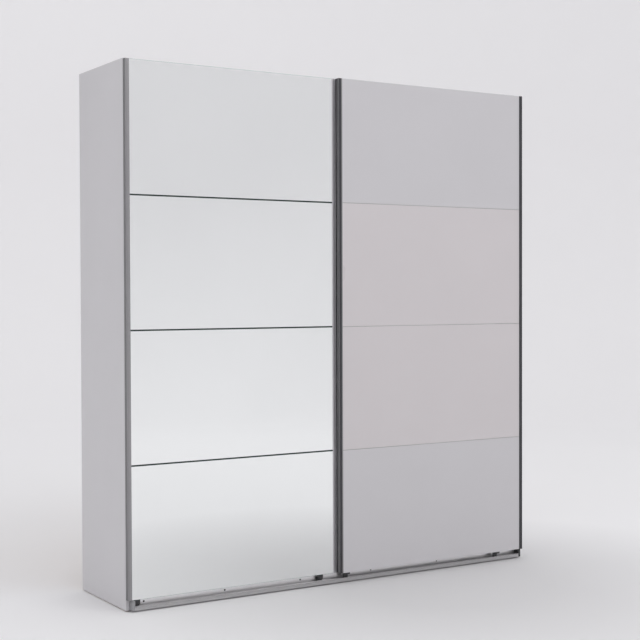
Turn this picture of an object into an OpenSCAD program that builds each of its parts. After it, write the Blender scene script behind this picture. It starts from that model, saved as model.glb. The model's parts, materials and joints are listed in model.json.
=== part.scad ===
// Sliding door wardrobe: two bays behind two overlapping doors that hang from a twin-track top rail.
// X runs along the width, Y from the doors to the back and Z up. The origin is the centre of the
// footprint on the floor.

/* [Overall] */
// Width over the side panels
overall_w = 2000; // [1600:10:2400]
// Height from the floor to the top of the side panels
overall_h = 2160; // [1900:10:2400]
// Depth of the side panels
carcass_d = 450; // [380:10:620]

/* [Boards] */
// Thickness of the side panels and the partition
side_t = 15; // [12:0.5:22]
// Thickness of the shelves and the other cross boards
board_t = 15; // [12:0.5:22]
// Thickness of the hardboard back
back_t = 3; // [2.5:0.5:6]
// Distance from the rear edges to the back panels
back_inset = 10; // [5:1:20]
// Depth of the grooves that hold the back panels
back_groove = 5; // [3:0.5:6]
// Height of the plinth boards
plinth_h = 46; // [40:1:80]
// Height of the header boards that carry the top rail
header_h = 90; // [85:1:120]
// Height of the floor glides
glide_h = 3; // [2:0.5:5]
// Radius of the floor glides
glide_r = 6.5; // [4:0.5:7]

/* [Fittings] */
// Clear height of the hat compartment
hat_space = 250; // [200:10:400]
// Set-back of the hat shelves behind the door side of the carcass
shelf_setback = 60; // [50:5:120]
// Clear space between a hat shelf and its clothes rail
rail_drop = 45; // [30:5:80]
// Height of the oval clothes rail
oval_h = 30; // [20:1:35]
// Thickness of the oval clothes rail
oval_t = 15; // [10:1:20]
// Wall of the clothes rail
oval_wall = 1.2; // [1:0.1:2]
// Radius of the shelf pins
pin_r = 2.5; // [2:0.1:3]
// Length that a shelf pin stands in a board, and out of it
pin_reach = 6.5; // [5:0.5:7]
// Radius of the cam fittings
cam_r = 7.5; // [6:0.5:9]
// Radius of the cam bolts
cam_bolt_r = 3; // [2.5:0.5:3.5]
// Distance from a board's end to its cam fittings
cam_inset = 34; // [24:1:40]
// Radius of the wall screw holes
wall_hole_r = 3; // [2.5:0.5:4]
// Radius of the screw shanks
screw_r = 1.8; // [1.5:0.1:2.5]
// Radius of the screw heads
screw_head_r = 4; // [3:0.25:5]

/* [Doors] */
// Share of the width that the mirrored door takes, in percent
mirror_door_share = 48.3; // [40:0.1:60]
// Gap between the edges of the closed doors, seen from the front
meeting_gap = 1; // [0:0.5:10]
// Distance from the carcass edge to the closed panelled door
panel_door_gap = 18; // [10:1:30]
// Thickness of the doors
door_t = 20; // [18:0.5:24]
// Distance from the top of the carcass to the top of the doors
door_drop = 4; // [3.6:0.2:8]
// Distance from the floor to the bottom of the doors
door_clear = 46; // [42:1:60]
// Visible width of the upright door profiles
profile_w = 17.5; // [14:0.5:30]
// Wall of the aluminium profiles
profile_wall = 1.5; // [1.2:0.1:2.5]
// Thickness of the door panels
panel_t = 10; // [8:0.5:12]
// Thickness of the mirror glass
glass_t = 4; // [3:0.5:5]
// Height of the dark strips between the mirrors
mirror_strip = 4.5; // [2:0.5:8]
// Height of the strips between the plain panels
panel_strip = 2.5; // [1.5:0.5:8]
// Height of the stiffening bars behind the panels
bar_h = 30; // [20:1:40]
// Width of the sealing lip that covers the gap between the doors
lip_w = 16; // [8:1:24]

/* [Running gear] */
// Distance between the carcass and the mirrored door
carcass_gap = 2; // [1.5:0.5:4]
// Distance between the two doors
door_gap = 5; // [4.5:0.5:9]
// Thickness of the steel carriages and arms
steel_t = 2.5; // [2:0.1:3]
// Width of the carriages and arms
carriage_w = 74; // [40:2:90]
// Distance from a door's edge to the middle of its carriage
carriage_inset = 68; // [50:1:110]
// Rolling radius of the wheels
wheel_r = 12; // [10:0.5:14]
// Height of the wheel flanges over the rolling surface
flange = 2.5; // [1.5:0.5:3]
// Width of the wheels
wheel_w = 9; // [7:0.5:11]
// Radius of the wheel axles
axle_r = 3; // [2.5:0.5:4]
// Height of the wheel axles below the top of the carcass
axle_drop = 30; // [26:1:34]
// Width of the ridges that the wheels run on
ridge_w = 2.5; // [2:0.5:3.5]
// Height of the ridges
ridge_h = 4; // [3.5:0.5:6]
// Distance between the two tracks
track_pitch = 20; // [19:0.5:26]
// Wall of the top rail
top_wall = 2.5; // [2:0.1:3]
// Wall of the bottom rail
bottom_wall = 2; // [1.5:0.1:3]
// Height of the bottom rail above the floor
bottom_rail_z = 6; // [4:0.5:8]
// Height of the guide ribs of the bottom rail
rib_h = 16; // [10:1:18]
// Thickness of the guide tongues
tongue_t = 6; // [4:0.5:8]
// Length of the guides
guide_l = 24; // [16:1:28]
// Distance from the panelled door's left edge to the middle of its left guide
guide_left_inset = 41; // [41:1:90]
// Space between the left end cap and the mirrored door's left guide
guide_cap_gap = 2; // [1:0.5:20]
// Distance from the mirrored door's right edge to the middle of its right guide
mirror_guide_inset = 79; // [50:1:200]
// Distance from the panelled door's right edge to the middle of its right guide
panel_guide_inset = 146; // [50:1:200]
// Length of the end stops
stop_l = 22; // [15:1:30]
// Length of the bottom rail's end caps
cap_l = 12; // [8:1:13]
// Distance from the carcass edge to the first bottom rail screw
rail_screw_first = 76; // [60:1:110]
// Distance between the bottom rail screws
rail_screw_pitch = 360; // [240:5:420]

/* [Clearances] */
// Radial clearance of the wheels on their axles
wheel_play = 0.05; // [0.02:0.01:0.1]
// Gap between a wheel and the ridge under it
rolling_gap = 0.3; // [0.2:0.05:0.5]
// Gap around a piece that is pushed into place
push_gap = 0.1; // [0.05:0.05:0.3]
// Gap at each side of a guide tongue
tongue_play = 2.2; // [1:0.1:2.5]
// Gap between pieces that pass each other
pass_gap = 1; // [0.5:0.1:1.5]

/* [Hidden] */
$fn = 48;

half_w = overall_w / 2;
inner_x = half_w - side_t;
half_partition = side_t / 2;

// Planes across the depth, from the outer door to the back
depth = carcass_d + carcass_gap + door_gap + 2 * door_t;
panel_door_y = -depth / 2;
mirror_door_y = panel_door_y + door_t + door_gap;
carcass_y = mirror_door_y + door_t + carcass_gap;
carcass_back_y = carcass_y + carcass_d;
back_y = carcass_back_y - back_inset - back_t;

// Levels
door_top = overall_h - door_drop;
door_h = door_top - door_clear;
plinth_top = glide_h + plinth_h;
header_z = overall_h - header_h;
top_z = overall_h - board_t;
shelf_z = top_z - hat_space - board_t;
rail_z = shelf_z - rail_drop - oval_h / 2;

// Top rail: both tracks lie in front of the headers
inner_track_y = carcass_y + steel_t + track_pitch / 2;
outer_track_y = inner_track_y + track_pitch;
header_y = outer_track_y + wheel_w / 2 + 2 * steel_t + top_wall;
axle_z = overall_h - axle_drop;
ridge_top = axle_z - wheel_r - rolling_gap;
rail_base_z = ridge_top - ridge_h - top_wall;
arm_t = door_drop - pass_gap;
shoulder_r = axle_r + 2;
shoulder_t = 1.5;

// Widths and closed places of the doors and how far they slide
mirror_door_w = overall_w * mirror_door_share / 100;
panel_door_w = overall_w - mirror_door_w - meeting_gap - panel_door_gap;
mirror_door_x = -half_w;
panel_door_x = half_w - panel_door_gap - panel_door_w;
mirror_travel = overall_w - mirror_door_w;
panel_travel = panel_door_x + half_w;

// Bottom rail: the outer groove guides the panelled door and the inner one the mirrored door
rail_tuck = 3;
tongue_rise = 3;
bottom_front_y = panel_door_y + door_t - rail_tuck;
outer_groove_y = bottom_front_y + bottom_wall + tongue_play + tongue_t / 2;
rib_y = outer_groove_y + tongue_t / 2 + tongue_play;
inner_groove_y = (rib_y + bottom_wall + carcass_y) / 2;
guide_plate_t = 6;
tongue_z = bottom_rail_z + bottom_wall + tongue_rise;
rib_top = bottom_rail_z + rib_h;

// Door panels sit in the grooves of the upright profiles
groove_depth = 8;
groove_y = profile_wall + push_gap;
lip = 0.5;
hole_r = screw_r + push_gap / 2;
screw_head_t = 2.2;

module board(x0, x1, y0, y1, z0, z1) {
    translate([x0, y0, z0]) cube([x1 - x0, y1 - y0, z1 - z0]);
}

// A cylinder along Y that starts at y
module along_y(x, y, z, r, l) {
    translate([x, y, z]) rotate([-90, 0, 0]) cylinder(r = r, h = l);
}

// A cylinder along X that starts at x
module along_x(x, y, z, r, l) {
    translate([x, y, z]) rotate([0, 90, 0]) cylinder(r = r, h = l);
}

// A cylinder along Z that starts at z
module along_z(x, y, z, r, l) {
    translate([x, y, z]) cylinder(r = r, h = l);
}

// A pan head screw whose head rests on the plane y, with its shank towards +Y
module screw_y(x, y, z, l) {
    along_y(x, y - screw_head_t, z, screw_head_r, screw_head_t);
    along_y(x, y, z, screw_r, l);
}

// Bay limits: side is -1 for the left bay and 1 for the right bay
function bay_x0(side) = side < 0 ? -inner_x : half_partition;
function bay_x1(side) = side < 0 ? -half_partition : inner_x;

// ---- Fittings that hold the carcass together ----

rear_inset = 60;
front_pin_inset = 37;
front_cam_inset = 45;
pin_ys = [carcass_y + shelf_setback + front_pin_inset, back_y - rear_inset];
pin_z = shelf_z - pin_r;
cam_ys = [header_y + board_t + front_cam_inset, back_y - rear_inset];
cam_skin = 3;
cam_depth = board_t - cam_skin;
recess_l = 8;
recess_w = 1.4;
recess_depth = 2;
bolt_seat = 9;
board_levels = [plinth_top, top_z];
glide_inset = 40;
glide_ys = [carcass_y + glide_inset, carcass_back_y - glide_inset];
glide_stem_r = 1.5;
glide_stem_l = 12;

module cam_bores(side) {
    for (x = [bay_x0(side) + cam_inset, bay_x1(side) - cam_inset], y = cam_ys, z = board_levels)
        along_z(x, y, z - 1, cam_r + push_gap, cam_depth + 1);
}

module cam_bolt_bores() {
    for (s = [-1, 1], y = cam_ys, z = board_levels)
        for (x = [bay_x0(s) - bolt_seat, bay_x1(s) - cam_inset])
            along_x(x, y, z + board_t / 2, cam_bolt_r, cam_inset + bolt_seat);
}

module bay_pins(r) {
    for (s = [-1, 1], x = [bay_x0(s), bay_x1(s)], y = pin_ys)
        along_x(x - pin_reach, y, pin_z, r, 2 * pin_reach);
}

module glide_stems() {
    for (x = [-half_w + side_t / 2, 0, half_w - side_t / 2], y = glide_ys)
        along_z(x, y, glide_h, glide_stem_r, glide_stem_l);
}

module side_panel(side) {
    x0 = side < 0 ? -half_w : inner_x;
    groove_x = side < 0 ? -inner_x - back_groove : inner_x;
    color("white")
    difference() {
        board(x0, x0 + side_t, carcass_y, carcass_back_y, glide_h, overall_h);
        board(groove_x, groove_x + back_groove, back_y - push_gap, back_y + back_t + push_gap,
            plinth_top / 2, overall_h + 1);
        cam_bolt_bores();
        bay_pins(pin_r);
        glide_stems();
        socket_screw_bores();
    }
}

module left_side_panel() { side_panel(-1); }
module right_side_panel() { side_panel(1); }

module centre_partition() {
    color("white")
    difference() {
        board(-half_partition, half_partition, carcass_y + bottom_wall, back_y, glide_h, overall_h);
        board(-half_partition - 1, half_partition + 1, carcass_y, header_y, header_z, overall_h + 1);
        cam_bolt_bores();
        bay_pins(pin_r);
        glide_stems();
        socket_screw_bores();
    }
}

module cross_panel(side, y0, z) {
    color("white")
    difference() {
        board(bay_x0(side), bay_x1(side), y0, back_y, z, z + board_t);
        cam_bores(side);
        for (x = [bay_x0(side) - bolt_seat, bay_x1(side) - cam_inset], y = cam_ys)
            along_x(x, y, z + board_t / 2, cam_bolt_r, cam_inset + bolt_seat);
        if (z > shelf_z)
            bracket_screw_bores(side);
    }
}

module left_top_panel() { cross_panel(-1, header_y + board_t, top_z); }
module right_top_panel() { cross_panel(1, header_y + board_t, top_z); }
module left_bottom_panel() { cross_panel(-1, carcass_y, plinth_top); }
module right_bottom_panel() { cross_panel(1, carcass_y, plinth_top); }

top_screw_z = overall_h - header_h / 4;
top_screw_xs = [for (s = [-1, 1], i = [0 : 2]) s * (half_w / 6 + i * half_w / 3)];
bottom_screw_count = floor((overall_w - 2 * rail_screw_first) / rail_screw_pitch);
bottom_screw_xs = [for (i = [0 : bottom_screw_count]) -half_w + rail_screw_first + i * rail_screw_pitch];
bottom_screw_rise = 27;
bottom_screw_z = bottom_rail_z + bottom_screw_rise;
rail_screw_l = 12;

module header(side) {
    color("white")
    difference() {
        board(bay_x0(side), bay_x1(side), header_y, header_y + board_t, header_z, overall_h);
        for (x = top_screw_xs)
            along_y(x, header_y - 1, top_screw_z, hole_r, rail_screw_l + 1);
    }
}

module left_header() { header(-1); }
module right_header() { header(1); }

module plinth(side) {
    y0 = carcass_y + bottom_wall;
    color("white")
    difference() {
        board(bay_x0(side), bay_x1(side), y0, y0 + board_t, glide_h, plinth_top);
        for (x = bottom_screw_xs)
            along_y(x, y0 - 1, bottom_screw_z, hole_r, rail_screw_l + 1);
    }
}

module left_plinth() { plinth(-1); }
module right_plinth() { plinth(1); }

wall_hole_drop = 28;
wall_hole_z = top_z - wall_hole_drop;
back_drop = 2;
bracket_w = 40;
bracket_t = 2;
bracket_inset = 150;
function bracket_x(side) = side * (half_w - bracket_inset);

module back_panel(side) {
    x0 = side < 0 ? -inner_x - back_groove + push_gap : push_gap;
    x1 = side < 0 ? -push_gap : inner_x + back_groove - push_gap;
    color("tan")
    difference() {
        board(x0, x1, back_y, back_y + back_t, plinth_top / 2 + push_gap,
            overall_h - back_drop);
        along_y(bracket_x(side), back_y - 1, wall_hole_z, wall_hole_r, back_t + 2);
    }
}

module left_back_panel() { back_panel(-1); }
module right_back_panel() { back_panel(1); }

module hat_shelf(side) {
    color("white")
        board(bay_x0(side) + pass_gap, bay_x1(side) - pass_gap, carcass_y + shelf_setback,
            back_y - pass_gap, shelf_z, shelf_z + board_t);
}

module left_hat_shelf() { hat_shelf(-1); }
module right_hat_shelf() { hat_shelf(1); }

// ---- Clothes rails ----

rail_y = (carcass_y + back_y) / 2;
socket_t = 2;
socket_cup = 12;
socket_wall = 1.5;
socket_screw_rise = oval_h / 2 + screw_head_r + 2;

// An upright oval in the plane of the cross-section, grown by g
module oval(g) {
    straight = oval_h - oval_t;
    square([straight, oval_t + 2 * g], center = true);
    for (s = [-1, 1])
        translate([s * straight / 2, 0]) circle(r = oval_t / 2 + g);
}

// Sweeps a cross-section along X, its first axis pointing down
module sweep_x(x, l) {
    translate([x, rail_y, rail_z]) rotate([0, 90, 0]) linear_extrude(height = l) children();
}

module clothes_rail(side) {
    x0 = bay_x0(side) + socket_t;
    x1 = bay_x1(side) - socket_t;
    color("silver")
        sweep_x(x0, x1 - x0) difference() {
            oval(0);
            oval(-oval_wall);
        }
}

module left_clothes_rail() { clothes_rail(-1); }
module right_clothes_rail() { clothes_rail(1); }

// d is 1 where the socket faces +X and -1 where it faces -X
module rail_socket(x, d) {
    plate_x = d > 0 ? x : x - socket_t;
    cup_x = d > 0 ? x + socket_t : x - socket_t - socket_cup;
    difference() {
        sweep_x(plate_x, socket_t) oval(socket_wall + screw_head_r * 2);
        for (s = [-1, 1])
            along_x(plate_x - 1, rail_y, rail_z + s * socket_screw_rise, hole_r, socket_t + 2);
    }
    sweep_x(cup_x, socket_cup) difference() {
        oval(socket_wall + push_gap);
        oval(push_gap);
    }
}

module clothes_rail_sockets() {
    color("silver")
    for (s = [-1, 1]) {
        rail_socket(bay_x0(s), 1);
        rail_socket(bay_x1(s), -1);
    }
}

socket_screw_l = 6;
tip_gap = 0.2;

module socket_screw_bores() {
    for (s = [-1, 1], x = [bay_x0(s), bay_x1(s)], t = [-1, 1])
        along_x(x - socket_screw_l, rail_y, rail_z + t * socket_screw_rise, hole_r, 2 * socket_screw_l);
}

module socket_screws() {
    for (s = [-1, 1], t = [-1, 1]) {
        z = rail_z + t * socket_screw_rise;
        along_x(bay_x0(s) - socket_screw_l + tip_gap, rail_y, z, screw_r, socket_screw_l + socket_t);
        along_x(bay_x0(s) + socket_t, rail_y, z, screw_head_r, screw_head_t);
        along_x(bay_x1(s) - socket_t, rail_y, z, screw_r,
            socket_screw_l + socket_t - tip_gap);
        along_x(bay_x1(s) - socket_t - screw_head_t, rail_y, z, screw_head_r, screw_head_t);
    }
}

module shelf_pins() {
    color("silver") bay_pins(pin_r);
}

module cam_slot(x, y, z, l, w) {
    translate([x - l / 2, y - w / 2, z - 1]) cube([l, w, recess_depth + 1]);
}

module cam_fittings() {
    color("gray")
    difference() {
        for (s = [-1, 1])
            for (x = [bay_x0(s) + cam_inset, bay_x1(s) - cam_inset], y = cam_ys, z = board_levels)
                along_z(x, y, z, cam_r, cam_depth);
        for (s = [-1, 1])
            for (x = [bay_x0(s) + cam_inset, bay_x1(s) - cam_inset], y = cam_ys, z = board_levels) {
                cam_slot(x, y, z, recess_l, recess_w);
                cam_slot(x, y, z, recess_w, recess_l);
            }
        cam_bolt_bores();
    }
}

module cam_bolts() {
    color("silver")
    for (s = [-1, 1], y = cam_ys, z = board_levels)
        for (x = [bay_x0(s) - bolt_seat / 2, bay_x1(s) - cam_inset])
            along_x(x, y, z + board_t / 2, cam_bolt_r - push_gap, cam_inset + bolt_seat / 2);
}

module floor_glides() {
    color("white") {
        for (x = [-half_w + side_t / 2, 0, half_w - side_t / 2], y = glide_ys)
            along_z(x, y, 0, glide_r, glide_h);
        glide_stems();
    }
}

bracket_leg = 45;
bracket_screw_dx = 12;
bracket_screw_l = 9;

module bracket_screw_bores(side) {
    for (t = [-1, 1])
        along_z(bracket_x(side) + t * bracket_screw_dx, back_y - bracket_leg / 2, top_z - 1, hole_r,
            bracket_screw_l + 2);
}

module wall_brackets() {
    color("silver")
    for (s = [-1, 1]) {
        x = bracket_x(s);
        difference() {
            union() {
                board(x - bracket_w / 2, x + bracket_w / 2, back_y - bracket_leg, back_y,
                    top_z - bracket_t, top_z);
                board(x - bracket_w / 2, x + bracket_w / 2, back_y - bracket_t, back_y,
                    top_z - bracket_leg, top_z);
            }
            along_y(x, back_y - bracket_t - 1, wall_hole_z, wall_hole_r, bracket_t + 2);
            for (t = [-1, 1])
                along_z(x + t * bracket_screw_dx, back_y - bracket_leg / 2, top_z - bracket_t - 1, hole_r,
                    bracket_t + 2);
        }
    }
}

module bracket_screws() {
    for (s = [-1, 1], t = [-1, 1]) {
        x = bracket_x(s) + t * bracket_screw_dx;
        y = back_y - bracket_leg / 2;
        along_z(x, y, top_z - bracket_t, screw_r, bracket_t + bracket_screw_l);
        along_z(x, y, top_z - bracket_t - screw_head_t, screw_head_r, screw_head_t);
    }
}

module cabinet_screws() {
    color("silver") {
        socket_screws();
        bracket_screws();
        for (x = top_screw_xs)
            screw_y(x, header_y - top_wall, top_screw_z, rail_screw_l);
    }
}

// ---- Rails that carry and guide the doors ----

// Sweeps a cross-section drawn in Y and Z along X
module sweep_yz(x0, x1) {
    translate([x0, 0, 0]) rotate([90, 0, 90]) linear_extrude(height = x1 - x0) children();
}

web_margin = 6;

module ridge(y) {
    translate([y - ridge_w / 2, rail_base_z]) square([ridge_w, top_wall + ridge_h - ridge_w / 2]);
    translate([y, ridge_top - ridge_w / 2]) circle(r = ridge_w / 2);
}

module top_rail() {
    rail_front_y = carcass_y + steel_t;
    color("silver")
    difference() {
        sweep_yz(-inner_x, inner_x) {
            translate([rail_front_y, rail_base_z]) square([header_y - rail_front_y, top_wall]);
            translate([header_y - top_wall, header_z + web_margin])
                square([top_wall, header_h - 3 * web_margin]);
            ridge(inner_track_y);
            ridge(outer_track_y);
        }
        for (x = top_screw_xs)
            along_y(x, header_y - top_wall - 1, top_screw_z, hole_r, top_wall + 2);
    }
}

stop_rise = 4;
stop_margin = 0.5;

// A stop saddles a ridge; x is its face towards the wheel and d the way it extends from there
module track_stop(x, y, d) {
    x0 = d > 0 ? x : x - stop_l;
    base = rail_base_z + top_wall;
    difference() {
        board(x0, x0 + stop_l, y - wheel_w / 2, y + wheel_w / 2, base, axle_z + stop_rise);
        board(x0 - 1, x0 + stop_l + 1, y - ridge_w / 2 - push_gap, y + ridge_w / 2 + push_gap,
            base - 1, ridge_top + push_gap);
    }
}

stop_gap = wheel_r + flange + stop_margin;
mirror_wheel_xs = [mirror_door_x + carriage_inset, mirror_door_x + mirror_door_w - carriage_inset];
panel_wheel_xs = [panel_door_x + carriage_inset, panel_door_x + panel_door_w - carriage_inset];

module track_stops() {
    color("dimgray") {
        track_stop(mirror_wheel_xs[0] - stop_gap, inner_track_y, -1);
        track_stop(mirror_wheel_xs[1] + mirror_travel + stop_gap, inner_track_y, 1);
        track_stop(panel_wheel_xs[0] - panel_travel - stop_gap, outer_track_y, -1);
        track_stop(panel_wheel_xs[1] + stop_gap, outer_track_y, 1);
    }
}

module bottom_rail_section() {
    translate([bottom_front_y, bottom_rail_z])
        square([carcass_y + bottom_wall - bottom_front_y, bottom_wall]);
    translate([bottom_front_y, bottom_rail_z]) square([bottom_wall, rib_h]);
    translate([rib_y, bottom_rail_z]) square([bottom_wall, rib_h]);
    translate([carcass_y, bottom_rail_z]) square([bottom_wall, plinth_top - bottom_rail_z - pass_gap]);
}

module bottom_rail() {
    color("lightgray")
    difference() {
        sweep_yz(-inner_x + cap_l, inner_x - cap_l) bottom_rail_section();
        for (x = bottom_screw_xs)
            along_y(x, carcass_y - 1, bottom_screw_z, hole_r, bottom_wall + 2);
    }
}

rail_head_t = 0.8;

module bottom_rail_screws() {
    color("dimgray")
    for (x = bottom_screw_xs) {
        along_y(x, carcass_y - rail_head_t, bottom_screw_z, screw_head_r, rail_head_t);
        along_y(x, carcass_y, bottom_screw_z, screw_r, rail_screw_l);
    }
}

// A cap closes an end of the bottom rail and stands against a side panel
module rail_cap(x0) {
    board(x0, x0 + cap_l, bottom_front_y, carcass_y + bottom_wall, bottom_rail_z,
        door_clear - 2 * pass_gap);
}

module left_rail_cap() { color("gray") rail_cap(-inner_x); }
module right_rail_cap() { color("dimgray") rail_cap(inner_x - cap_l); }

// ---- Doors ----

// A panel of a door: i counts from the bottom, back and t place it in the profile's groove
module door_panel(x, y, w, strip, i, back, t) {
    pitch = (door_h + strip) / 4;
    z = door_clear + i * pitch;
    board(x + profile_w - groove_depth + push_gap, x + w - profile_w + groove_depth - push_gap,
        y + groove_y + back, y + groove_y + back + t, z, z + pitch - strip);
}

module door_strips(x, y, w, strip) {
    pitch = (door_h + strip) / 4;
    for (i = [1 : 3])
        board(x + profile_w - groove_depth + push_gap, x + w - profile_w + groove_depth - push_gap,
            y + groove_y, y + groove_y + panel_t, door_clear + i * pitch - strip, door_clear + i * pitch);
}

// Cross-section of an upright profile, with its groove towards +X
module profile_section() {
    groove_t = panel_t + 2 * push_gap;
    difference() {
        union() {
            translate([lip, 0]) square([profile_w - lip, door_t]);
            translate([0, lip]) square([lip, door_t - 2 * lip]);
        }
        translate([profile_w - groove_depth, profile_wall]) square([groove_depth + 1, groove_t]);
        translate([profile_wall, 2 * profile_wall + groove_t])
            square([profile_w - 2 * profile_wall, door_t - 3 * profile_wall - groove_t]);
        translate([profile_wall, profile_wall])
            square([profile_w - groove_depth - 2 * profile_wall, groove_t]);
    }
}

module left_profile(x, y) {
    translate([x, y, door_clear]) linear_extrude(height = door_h) profile_section();
}

module right_profile(x, y) {
    translate([x, y, door_clear]) linear_extrude(height = door_h) mirror([1, 0]) profile_section();
}

// Stiffening bars behind the panels, at the top and the bottom of a door
module door_bars(x, y, w) {
    y0 = y + groove_y + panel_t + push_gap;
    for (z = [door_clear, door_top - bar_h])
        difference() {
            board(x + profile_w + push_gap, x + w - profile_w - push_gap, y0, y + door_t, z, z + bar_h);
            board(x + profile_w - 1, x + w - profile_w + 1, y0 + profile_wall, y + door_t - profile_wall,
                z + profile_wall, z + bar_h - profile_wall);
        }
}

module mirror_pane(i) {
    color("lightblue") door_panel(mirror_door_x, mirror_door_y, mirror_door_w, mirror_strip, i, 0, glass_t);
}

module top_mirror() { mirror_pane(3); }
module upper_mirror() { mirror_pane(2); }
module lower_mirror() { mirror_pane(1); }
module bottom_mirror() { mirror_pane(0); }

module mirror_backing_boards() {
    color("tan")
    for (i = [0 : 3])
        door_panel(mirror_door_x, mirror_door_y, mirror_door_w, mirror_strip, i, glass_t,
            panel_t - glass_t);
}

module mirror_door_strips() {
    color("black") door_strips(mirror_door_x, mirror_door_y, mirror_door_w, mirror_strip);
}

module mirror_door_left_profile() {
    color("silver") left_profile(mirror_door_x, mirror_door_y);
}

module mirror_door_right_profile() {
    color("silver") right_profile(mirror_door_x + mirror_door_w, mirror_door_y);
}

module mirror_door_bars() {
    color("silver")
    difference() {
        door_bars(mirror_door_x, mirror_door_y, mirror_door_w);
        carriage_screw_bores(mirror_wheel_xs, mirror_door_y + door_t);
    }
}

seal_inset = 1;
seal_t = 2;

module mirror_door_seal() {
    x = mirror_door_x + mirror_door_w;
    color("black")
        board(x, x + lip_w, mirror_door_y + seal_inset, mirror_door_y + seal_inset + seal_t, door_clear,
            door_top);
}

// A plain panel in the outer door, counted from the bottom
module plain_panel(i) {
    color("whitesmoke") door_panel(panel_door_x, panel_door_y, panel_door_w, panel_strip, i, 0, panel_t);
}

module top_plain_panel() { plain_panel(3); }
module upper_plain_panel() { plain_panel(2); }
module lower_plain_panel() { plain_panel(1); }
module bottom_plain_panel() { plain_panel(0); }

module panel_door_strips() {
    color("lightgray") door_strips(panel_door_x, panel_door_y, panel_door_w, panel_strip);
}

module panel_door_left_profile() {
    color("dimgray") left_profile(panel_door_x, panel_door_y);
}

module panel_door_right_profile() {
    color("dimgray") right_profile(panel_door_x + panel_door_w, panel_door_y);
}

module panel_door_bars() {
    color("silver")
    difference() {
        door_bars(panel_door_x, panel_door_y, panel_door_w);
        carriage_screw_bores(panel_wheel_xs, panel_door_y + door_t);
    }
}

// ---- Running gear of the doors ----

carriage_drop = 40;
carriage_top_gap = 4;
carriage_screw_dx = carriage_w / 2 - 10;
bore_reach = 10;
carriage_screw_z = door_top - bar_h / 2;
carriage_screw_l = 8;
carriage_head_t = 1.2;
side_play = 0.5;

module carriage_screw_bores(xs, y) {
    for (x = xs, t = [-1, 1])
        along_y(x + t * carriage_screw_dx, y - bore_reach, carriage_screw_z, hole_r, 2 * bore_reach);
}

// Screws that hold a carriage or an arm to the door whose back is at y
module carriage_screws(xs, y) {
    color("dimgray")
    for (x = xs, t = [-1, 1]) {
        along_y(x + t * carriage_screw_dx, y + steel_t - carriage_screw_l, carriage_screw_z, screw_r,
            carriage_screw_l);
        along_y(x + t * carriage_screw_dx, y + steel_t, carriage_screw_z, screw_head_r, carriage_head_t);
    }
}

// A steel plate flat on the back of a door
module carriage_plate(x, y, z1) {
    board(x - carriage_w / 2, x + carriage_w / 2, y, y + steel_t, axle_z - carriage_drop, z1);
}

module mirror_door_carriages() {
    y = mirror_door_y + door_t;
    color("gray")
    difference() {
        for (x = mirror_wheel_xs)
            carriage_plate(x, y, door_top - carriage_top_gap);
        for (x = mirror_wheel_xs)
            along_y(x, y - 1, axle_z, axle_r, steel_t + 2);
        carriage_screw_bores(mirror_wheel_xs, y);
    }
}

arm_plate_y = outer_track_y - wheel_w / 2 - side_play - shoulder_t - steel_t;

// Arms reach over the inner door to the outer door's own track
module panel_door_arms() {
    y = panel_door_y + door_t;
    color("gray")
    difference() {
        for (x = panel_wheel_xs) {
            carriage_plate(x, y, overall_h);
            board(x - carriage_w / 2, x + carriage_w / 2, y, arm_plate_y + steel_t, overall_h - arm_t,
                overall_h);
            board(x - carriage_w / 2, x + carriage_w / 2, arm_plate_y, arm_plate_y + steel_t, ridge_top,
                overall_h);
        }
        for (x = panel_wheel_xs)
            along_y(x, arm_plate_y - 1, axle_z, axle_r, steel_t + 2);
        carriage_screw_bores(panel_wheel_xs, y);
    }
}

// An axle riveted into the plate at plate_y, with a shoulder before its wheel and a head behind it
module wheel_axle(x, plate_y, track_y) {
    shoulder_y = track_y - wheel_w / 2 - side_play - shoulder_t;
    head_y = track_y + wheel_w / 2 + side_play;
    along_y(x, plate_y, axle_z, axle_r, head_y + shoulder_t - plate_y);
    along_y(x, shoulder_y, axle_z, shoulder_r, shoulder_t);
    along_y(x, head_y, axle_z, shoulder_r, shoulder_t);
}

module mirror_door_axles() {
    color("silver")
    for (x = mirror_wheel_xs)
        wheel_axle(x, mirror_door_y + door_t, inner_track_y);
}

module panel_door_axles() {
    color("silver")
    for (x = panel_wheel_xs)
        wheel_axle(x, arm_plate_y, outer_track_y);
}

groove_flare = 0.6;

// A flanged wheel with a groove for the ridge that it rolls on
module wheel(x, y) {
    groove = ridge_w / 2 + rolling_gap + wheel_play;
    rim = wheel_r + flange;
    bore = axle_r + wheel_play;
    half = wheel_w / 2;
    color("white")
    translate([x, y, axle_z]) rotate([-90, 0, 0]) rotate_extrude($fn = 64)
        polygon([[bore, -half], [rim, -half], [rim, -groove - groove_flare], [wheel_r, -groove],
            [wheel_r, groove], [rim, groove + groove_flare], [rim, half], [bore, half]]);
}

module mirror_door_left_wheel() { wheel(mirror_wheel_xs[0], inner_track_y); }
module mirror_door_right_wheel() { wheel(mirror_wheel_xs[1], inner_track_y); }
module panel_door_left_wheel() { wheel(panel_wheel_xs[0], outer_track_y); }
module panel_door_right_wheel() { wheel(panel_wheel_xs[1], outer_track_y); }

module mirror_door_screws() { carriage_screws(mirror_wheel_xs, mirror_door_y + door_t); }
module panel_door_screws() { carriage_screws(panel_wheel_xs, panel_door_y + door_t); }

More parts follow.
